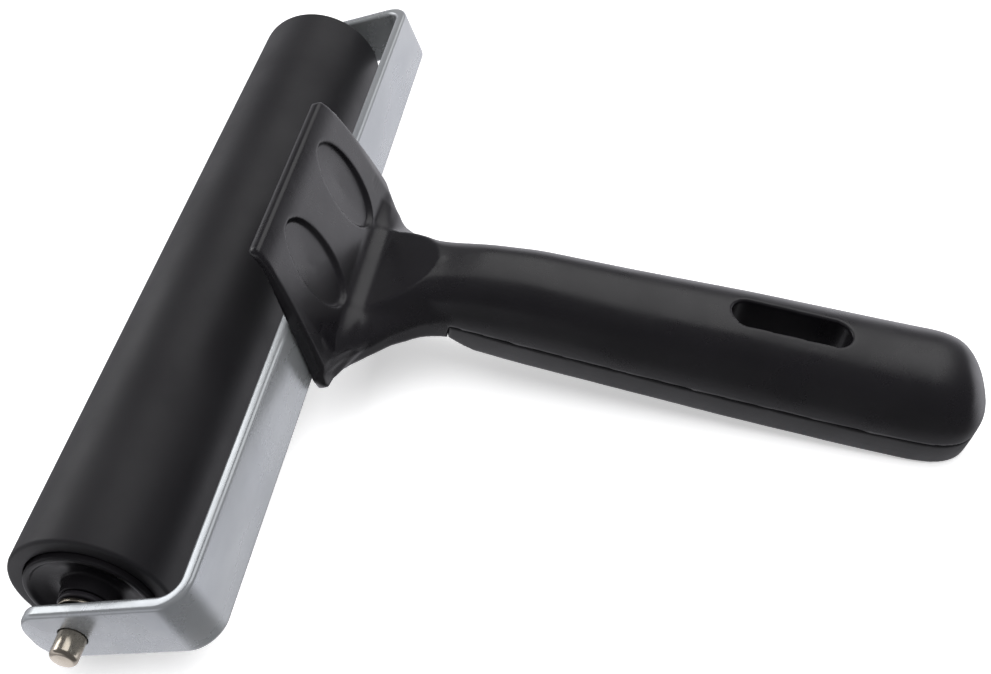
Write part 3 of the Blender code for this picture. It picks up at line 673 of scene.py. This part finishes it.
def lower_field(g, grip, seam, slot):
    """The cover below the seam, with its bevelled nose and the slot."""
    start = COVER_FRONT + COVER_GAP
    nose = (start + (COVER_NOSE_H - g.H) * COVER_NOSE_RUN - g.S) / math.hypot(COVER_NOSE_RUN, 1)
    lower = round_meet(grip, g.H - (seam + SEAM_GAP), SEAM_ROUND)
    lower = np.maximum(lower, start - g.S)
    lower = np.maximum(lower, nose)
    return round_meet(lower, -slot, SLOT_RIM_BELOW)


def handle_fields(step):
    """Distance fields of the moulding and of the cover below its seam, with the holes for its screws."""
    g = Grid(step)
    grip = grip_field(g)
    slot = slot_field(g)
    part = along(np.clip((g.s - COVER_FRONT) / (GRIP_END - COVER_FRONT), 0, 1))
    seam = g.under + SEAM + part * SEAM_RISE
    upper = upper_field(g, grip, seam, slot)
    lower = lower_field(g, grip, seam, slot)
    for at in COVER_SCREWS:
        base = float(g.under[0, int(round((at - g.s[0]) / step)), 0])
        pin = np.hypot(g.X, g.S - at)
        lower = np.maximum(lower, -(pin - PIN_R))
        lower = np.maximum(lower, -np.maximum(pin - COUNTERBORE_R, g.H - (base + COUNTERBORE)))
        upper = np.maximum(upper, -np.maximum(pin - PIN_R, g.H - (base + PIN_DEPTH)))
    origin = (0.0, g.s[0], g.h[0])
    return upper.astype(np.float32), lower.astype(np.float32), origin


def build_handle(mats):
    upper, lower, origin = handle_fields(STEP)
    shell = field_object("handle_moulding", upper, origin, STEP, mats["handle"])
    add(shell, "frame", "handle_plastic", "handle_shell")
    cover = field_object("grip_underside", lower, origin, STEP, mats["cover"])
    add(cover, "frame", "cover_plastic", "grip_cover")


# ---- The bent strip -------------------------------------------------------------------------
def strip_path():
    """Stations from one arm's tip to the middle of the back: (centre, outward direction, half width)."""
    half_w = STRIP_W / 2
    middle = SPAN - STRIP_T / 2
    bend = BEND + STRIP_T / 2
    corner = (middle - bend, -BACK + STRIP_T / 2 + bend)
    shoulder = REACH - TIP_ROUND
    path = []
    for k in range(13):
        angle = math.radians(90 - 7.5 * k)
        path.append(((middle, shoulder + TIP_ROUND * math.sin(angle)), (1, 0),
                     half_w - TIP_ROUND + TIP_ROUND * math.cos(angle)))
    for k in range(1, 8):
        path.append(((middle, shoulder + (corner[1] - shoulder) * k / 8), (1, 0), half_w))
    for k in range(17):
        angle = math.radians(-90 * k / 16)
        out = (math.cos(angle), math.sin(angle))
        path.append(((corner[0] + bend * out[0], corner[1] + bend * out[1]), out, half_w))
    for k in range(1, 13):
        path.append(((corner[0] * (1 - k / 12), -BACK + STRIP_T / 2), (0, -1), half_w))
    return path


def strip_ring(centre, out, half_w):
    """The strip's section at a station, with rounded edges."""
    edge = min(STRIP_EDGE, half_w * 0.6)
    ring = []
    for across, up, start in ((1, 1, 0), (-1, 1, 90), (-1, -1, 180), (1, -1, 270)):
        for k in range(7):
            angle = math.radians(start + 15 * k)
            t = across * (STRIP_T / 2 - edge) + edge * math.cos(angle)
            ring.append((centre[0] + out[0] * t, centre[1] + out[1] * t,
                         up * (half_w - edge) + edge * math.sin(angle)))
    return ring


def drill(radius, steps, base, direction, mat):
    """A round cutter that runs right through the strip."""
    reach = 5
    outline = [(-reach, 0), (-reach, radius), (reach, radius), (reach, 0)]
    return turned("cut", outline, mat, steps, 1, (base, direction))


def build_strip(mats):
    path = strip_path()
    left = [((-c[0], c[1]), (-d[0], d[1]), w) for c, d, w in reversed(path[:-1])]
    rings = [strip_ring(*station) for station in path + left]
    count = len(rings[0])
    verts = [p for ring in rings for p in ring]
    faces = []
    for i in range(len(rings) - 1):
        for j in range(count):
            k = (j + 1) % count
            faces.append((i * count + j, i * count + k, (i + 1) * count + k, (i + 1) * count + j))
    faces.append(tuple(range(count)))
    faces.append(tuple(range((len(rings) - 1) * count, len(rings) * count)))
    bar = mesh_object("bent_strip", to_world(verts), faces, mats["strip"])
    cutters = []
    for side in (-1, 1):
        cutters.append(drill(ROD_HOLE, 64, (side * (SPAN - STRIP_T / 2), 0, 0), (1, 0, 0), mats["strip"]))
        cutters.append(drill(SCREW_HOLE, 48, (side * SCREW_X, -BACK + STRIP_T / 2, SCREW_Z), (0, 1, 0),
                             mats["strip"]))
    apply_cuts(bar, cutters)
    add(bar, "frame", "zinc_plated_steel", "frame_bar")


# ---- The roller -----------------------------------------------------------------------------
def build_sleeve(mats):
    end, outer, inner = RUBBER_END, RUBBER_R, RUBBER_BORE
    sleeve = turned("rubber_covering", rounded_profile([
        (-end, inner, 0.3), (end, inner, 0.3), (end, outer, 0.9), (-end, outer, 0.9)], steps=6),
        mats["rubber"], 192)
    add(sleeve, "roller", "black_rubber", "rubber_sleeve")


def build_cap(mats, name, side):
    """A dished cap: hub, dish, raised rim and the spigot inside the core."""
    cap = turned("roller_cap_" + name, rounded_profile([
        (CAP_START, 5.375, 0.2), (104.4, 5.375, 0.2), (104.4, 6.3, 0.3), (100.8, 6.9, 0.8),
        (100.8, 9.4, 1.2), (102.2, 13.1, 0.6), (103.0, 13.6, 0.5), (103.0, 15.0, 0.5),
        (99.8, 15.0, 0.2), (99.8, 12.5, 0.2), (CAP_START, 12.5, 0.4)], steps=5),
        mats["cap"], 160, side)
    add(cap, "roller", "cap_plastic", "end_cap_" + name)


def build_bush(mats, name, side):
    bush = turned("hub_bush_" + name, rounded_profile([
        (CAP_START, RUNNING_R, 0.15), (105.9, RUNNING_R, 0.3), (105.9, 6.1, 0.45), (104.7, 6.1, 0.15),
        (104.7, 5.075, 0.1), (CAP_START, 5.075, 0.2)]), mats["nylon"], 96, side)
    add(bush, "roller", "nylon", "axle_bush_" + name)


def build_washer(mats, name, side):
    near, far = WASHER_START, WASHER_START + WASHER_T
    washer = turned("plain_washer_" + name, rounded_profile([
        (near, RUNNING_R, 0.12), (far, RUNNING_R, 0.12), (far, WASHER_R, 0.2), (near, WASHER_R, 0.2)]),
        mats["rod"], 96, side)
    add(washer, "frame", "polished_steel", "thrust_washer_" + name)


def build_roller(mats):
    build_sleeve(mats)
    for name, side in (("left", -1), ("right", 1)):
        build_cap(mats, name, side)
        build_bush(mats, name, side)
        build_washer(mats, name, side)


def build_rod(mats):
    groove_end = GROOVE_AT + GROOVE_WIDE
    half = [(GROOVE_AT, ROD_R, 0), (GROOVE_AT, GROOVE_R, 0), (groove_end, GROOVE_R, 0),
            (groove_end, ROD_R, 0), (ROD_END - 0.15, ROD_R, 1.1), (ROD_END, 0, 0)]
    corners = [(-c[0], c[1], c[2]) for c in reversed(half)] + half
    rod = turned("round_rod", rounded_profile(corners, steps=8), mats["rod"], 96)
    add(rod, "frame", "polished_steel", "axle_rod")


# ---- Screws ---------------------------------------------------------------------------------
def screw(name, base, direction, mat):
    """A pan head with a cross recess. The origin is under the head, and the shank runs along direction."""
    head, head_r = SCREW_HEAD, SCREW_HEAD_R
    profile = rounded_profile([
        (-head, 0, 0), (-head, head_r * 0.72, head_r * 0.5), (-head * 0.25, head_r, head_r * 0.3),
        (0, head_r, 0.1), (0, SCREW_R, 0.1), (SCREW_LENGTH - SCREW_R, SCREW_R, 0.2),
        (SCREW_LENGTH, 0, 0)], steps=6)
    item = turned(name, profile, mat, 64, 1, (base, direction))
    cutters = []
    turn = np.array(Vector(direction).to_track_quat("X", "Z").to_matrix())
    for wide, narrow in ((0.62, 0.15), (0.15, 0.62)):
        points = []
        for px, shrink in ((-head * 1.3, 1.0), (-head * 0.35, 0.62)):
            for a, b in ((-1, -1), (1, -1), (1, 1), (-1, 1)):
                points.append((px, a * wide * head_r * (shrink if wide > narrow else 1),
                               b * narrow * head_r * (shrink if narrow > wide else 1)))
        points = np.array(points) @ turn.T + np.array(base)
        faces = [(0, 1, 2, 3), (4, 5, 6, 7), (0, 1, 5, 4), (1, 2, 6, 5), (2, 3, 7, 6), (3, 0, 4, 7)]
        cutters.append(mesh_object("cut", to_world(points), faces, mat))
    apply_cuts(item, cutters)
    return item


def build_screws(mats):
    for name, side in (("left", -1), ("right", 1)):
        item = screw("strip_screw_" + name, (side * SCREW_X, SCREW_SEAT, SCREW_Z), (0, -1, 0), mats["strip"])
        add(item, "frame", "zinc_plated_steel", "frame_screw_" + name)


# ---- Remaining CAD nodes --------------------------------------------------------------------
def finish_nodes(mats):
    keep = {
        "core_tube": "core", "retaining_clip_left": "oxide", "retaining_clip_right": "oxide",
        "frame_lock_washer_left": "strip", "frame_lock_washer_right": "strip",
        "threaded_insert_left": "brass", "threaded_insert_right": "brass",
        "cover_screw_front": "oxide", "cover_screw_middle": "oxide", "cover_screw_rear": "oxide",
    }
    for node, mat in keep.items():
        data = frame["nodes"][node].data
        data.materials.clear()
        data.materials.append(mats[mat])


# ---- Stage ----------------------------------------------------------------------------------
def build_stage():
    mesh = bpy.data.meshes.new("floor")
    size = 6.0
    corners = [(-size, -size, 0), (size, -size, 0), (size, size, 0), (-size, size, 0)]
    mesh.from_pydata(corners, [], [(0, 1, 2, 3)])
    n = Nodes("white_table")
    n.set(Base_Color=(0.92, 0.92, 0.925, 1), Roughness=0.55, Specular_IOR_Level=0.2)
    n.set(Emission_Color=(1, 1, 1, 1), Emission_Strength=0.5)
    mesh.materials.append(n.mat)
    floor = bpy.data.objects.new("floor", mesh)
    bpy.context.scene.collection.objects.link(floor)
    floor.visible_glossy = False


def area_light(name, place, target, size, power):
    light = bpy.data.lights.new(name, "AREA")
    light.shape = "RECTANGLE"
    light.size, light.size_y = size
    light.energy = power
    item = bpy.data.objects.new(name, light)
    item.location = place
    item.rotation_euler = (Vector(target) - Vector(place)).to_track_quat("-Z", "Y").to_euler()
    bpy.context.scene.collection.objects.link(item)
    return item


def grey_ramp(tree, source, stops):
    """Brightness by height, very slightly blue."""
    ramp = tree.nodes.new("ShaderNodeValToRGB")
    while len(ramp.color_ramp.elements) < len(stops):
        ramp.color_ramp.elements.new(0.5)
    for element, (at, value) in zip(ramp.color_ramp.elements, stops):
        element.position = at
        element.color = (value, value * 0.99, value * 1.05, 1)
    tree.links.new(source, ramp.inputs["Fac"])
    return ramp.outputs["Color"]


def build_light():
    """A dark room, bright below the horizon on the right, straight below and low behind the roller."""
    world = bpy.data.worlds.new("studio")
    bpy.context.scene.world = world
    world.use_nodes = True
    tree = world.node_tree
    coords = tree.nodes.new("ShaderNodeTexCoord")
    split = tree.nodes.new("ShaderNodeSeparateXYZ")
    tree.links.new(coords.outputs["Generated"], split.inputs[0])

    def share(axis, low, high):
        node = tree.nodes.new("ShaderNodeMapRange")
        node.inputs["From Min"].default_value = low
        node.inputs["From Max"].default_value = high
        tree.links.new(split.outputs[axis], node.inputs["Value"])
        return node.outputs["Result"]

    def blend(factor, a, b):
        node = tree.nodes.new("ShaderNodeMix")
        node.data_type = "RGBA"
        for socket, source in ((0, factor), (6, a), (7, b)):
            tree.links.new(source, node.inputs[socket])
        return node.outputs[2]

    height = share("Z", -1.0, 1.0)
    left = grey_ramp(tree, height, ((0.0, 0.60), (0.07, 0.50), (0.16, 0.10), (0.6, 0.10), (1.0, 0.10)))
    right = grey_ramp(tree, height, ((0.0, 0.60), (0.07, 0.45), (0.16, 0.30), (0.31, 1.05), (0.50, 1.10),
                                     (0.57, 0.30), (0.64, 0.14), (1.0, 0.12)))
    ring = grey_ramp(tree, height, ((0.0, 1.10), (0.10, 1.00), (0.18, 0.22), (0.33, 0.42), (0.45, 0.52),
                                    (0.53, 0.80), (0.61, 0.14), (1.0, 0.12)))
    sides = blend(share("X", -0.15, 0.35), left, right)
    everything = blend(share("Y", 0.0, 0.45), sides, ring)
    tree.links.new(everything, tree.nodes["Background"].inputs["Color"])
    area_light("right_softbox", (0.85, -0.17, 1.2), (0, 0, 0), (1.25, 1.45), 5.4)
    area_light("front_rim", (0.4, 1.05, 0.42), (0, 0.05, 0.02), (0.7, 0.4), 2.2)
    fill = area_light("overhead", (-0.1, 0.0, 1.5), (0, 0, 0), (1.6, 1.6), 29)
    fill.visible_glossy = False
    bpy.context.scene.view_settings.view_transform = "Standard"


def build_camera():
    c, s = math.cos(TILT), math.sin(TILT)
    tilt = np.array([[1, 0, 0], [0, c, s], [0, -s, c]])
    place = to_world(np.array(CAMERA_PLACE))
    right, down, ahead = (tilt @ np.array(v) for v in (CAMERA_RIGHT, CAMERA_DOWN, CAMERA_AHEAD))
    data = bpy.data.cameras.new("camera")
    data.sensor_width = CAMERA_SENSOR
    data.lens = CAMERA_LENS
    data.shift_x, data.shift_y = CAMERA_SHIFT
    data.clip_start, data.clip_end = 0.01, 20
    item = bpy.data.objects.new("camera", data)
    matrix = Matrix.Identity(4)
    for row in range(3):
        matrix[row][0], matrix[row][1], matrix[row][2] = right[row], -down[row], -ahead[row]
        matrix[row][3] = place[row]
    item.matrix_world = matrix
    bpy.context.scene.collection.objects.link(item)
    bpy.context.scene.camera = item


materials = make_materials()
build_camera()
build_light()
build_stage()
build_strip(materials)
build_rod(materials)
build_roller(materials)
build_handle(materials)
build_screws(materials)
finish_nodes(materials)
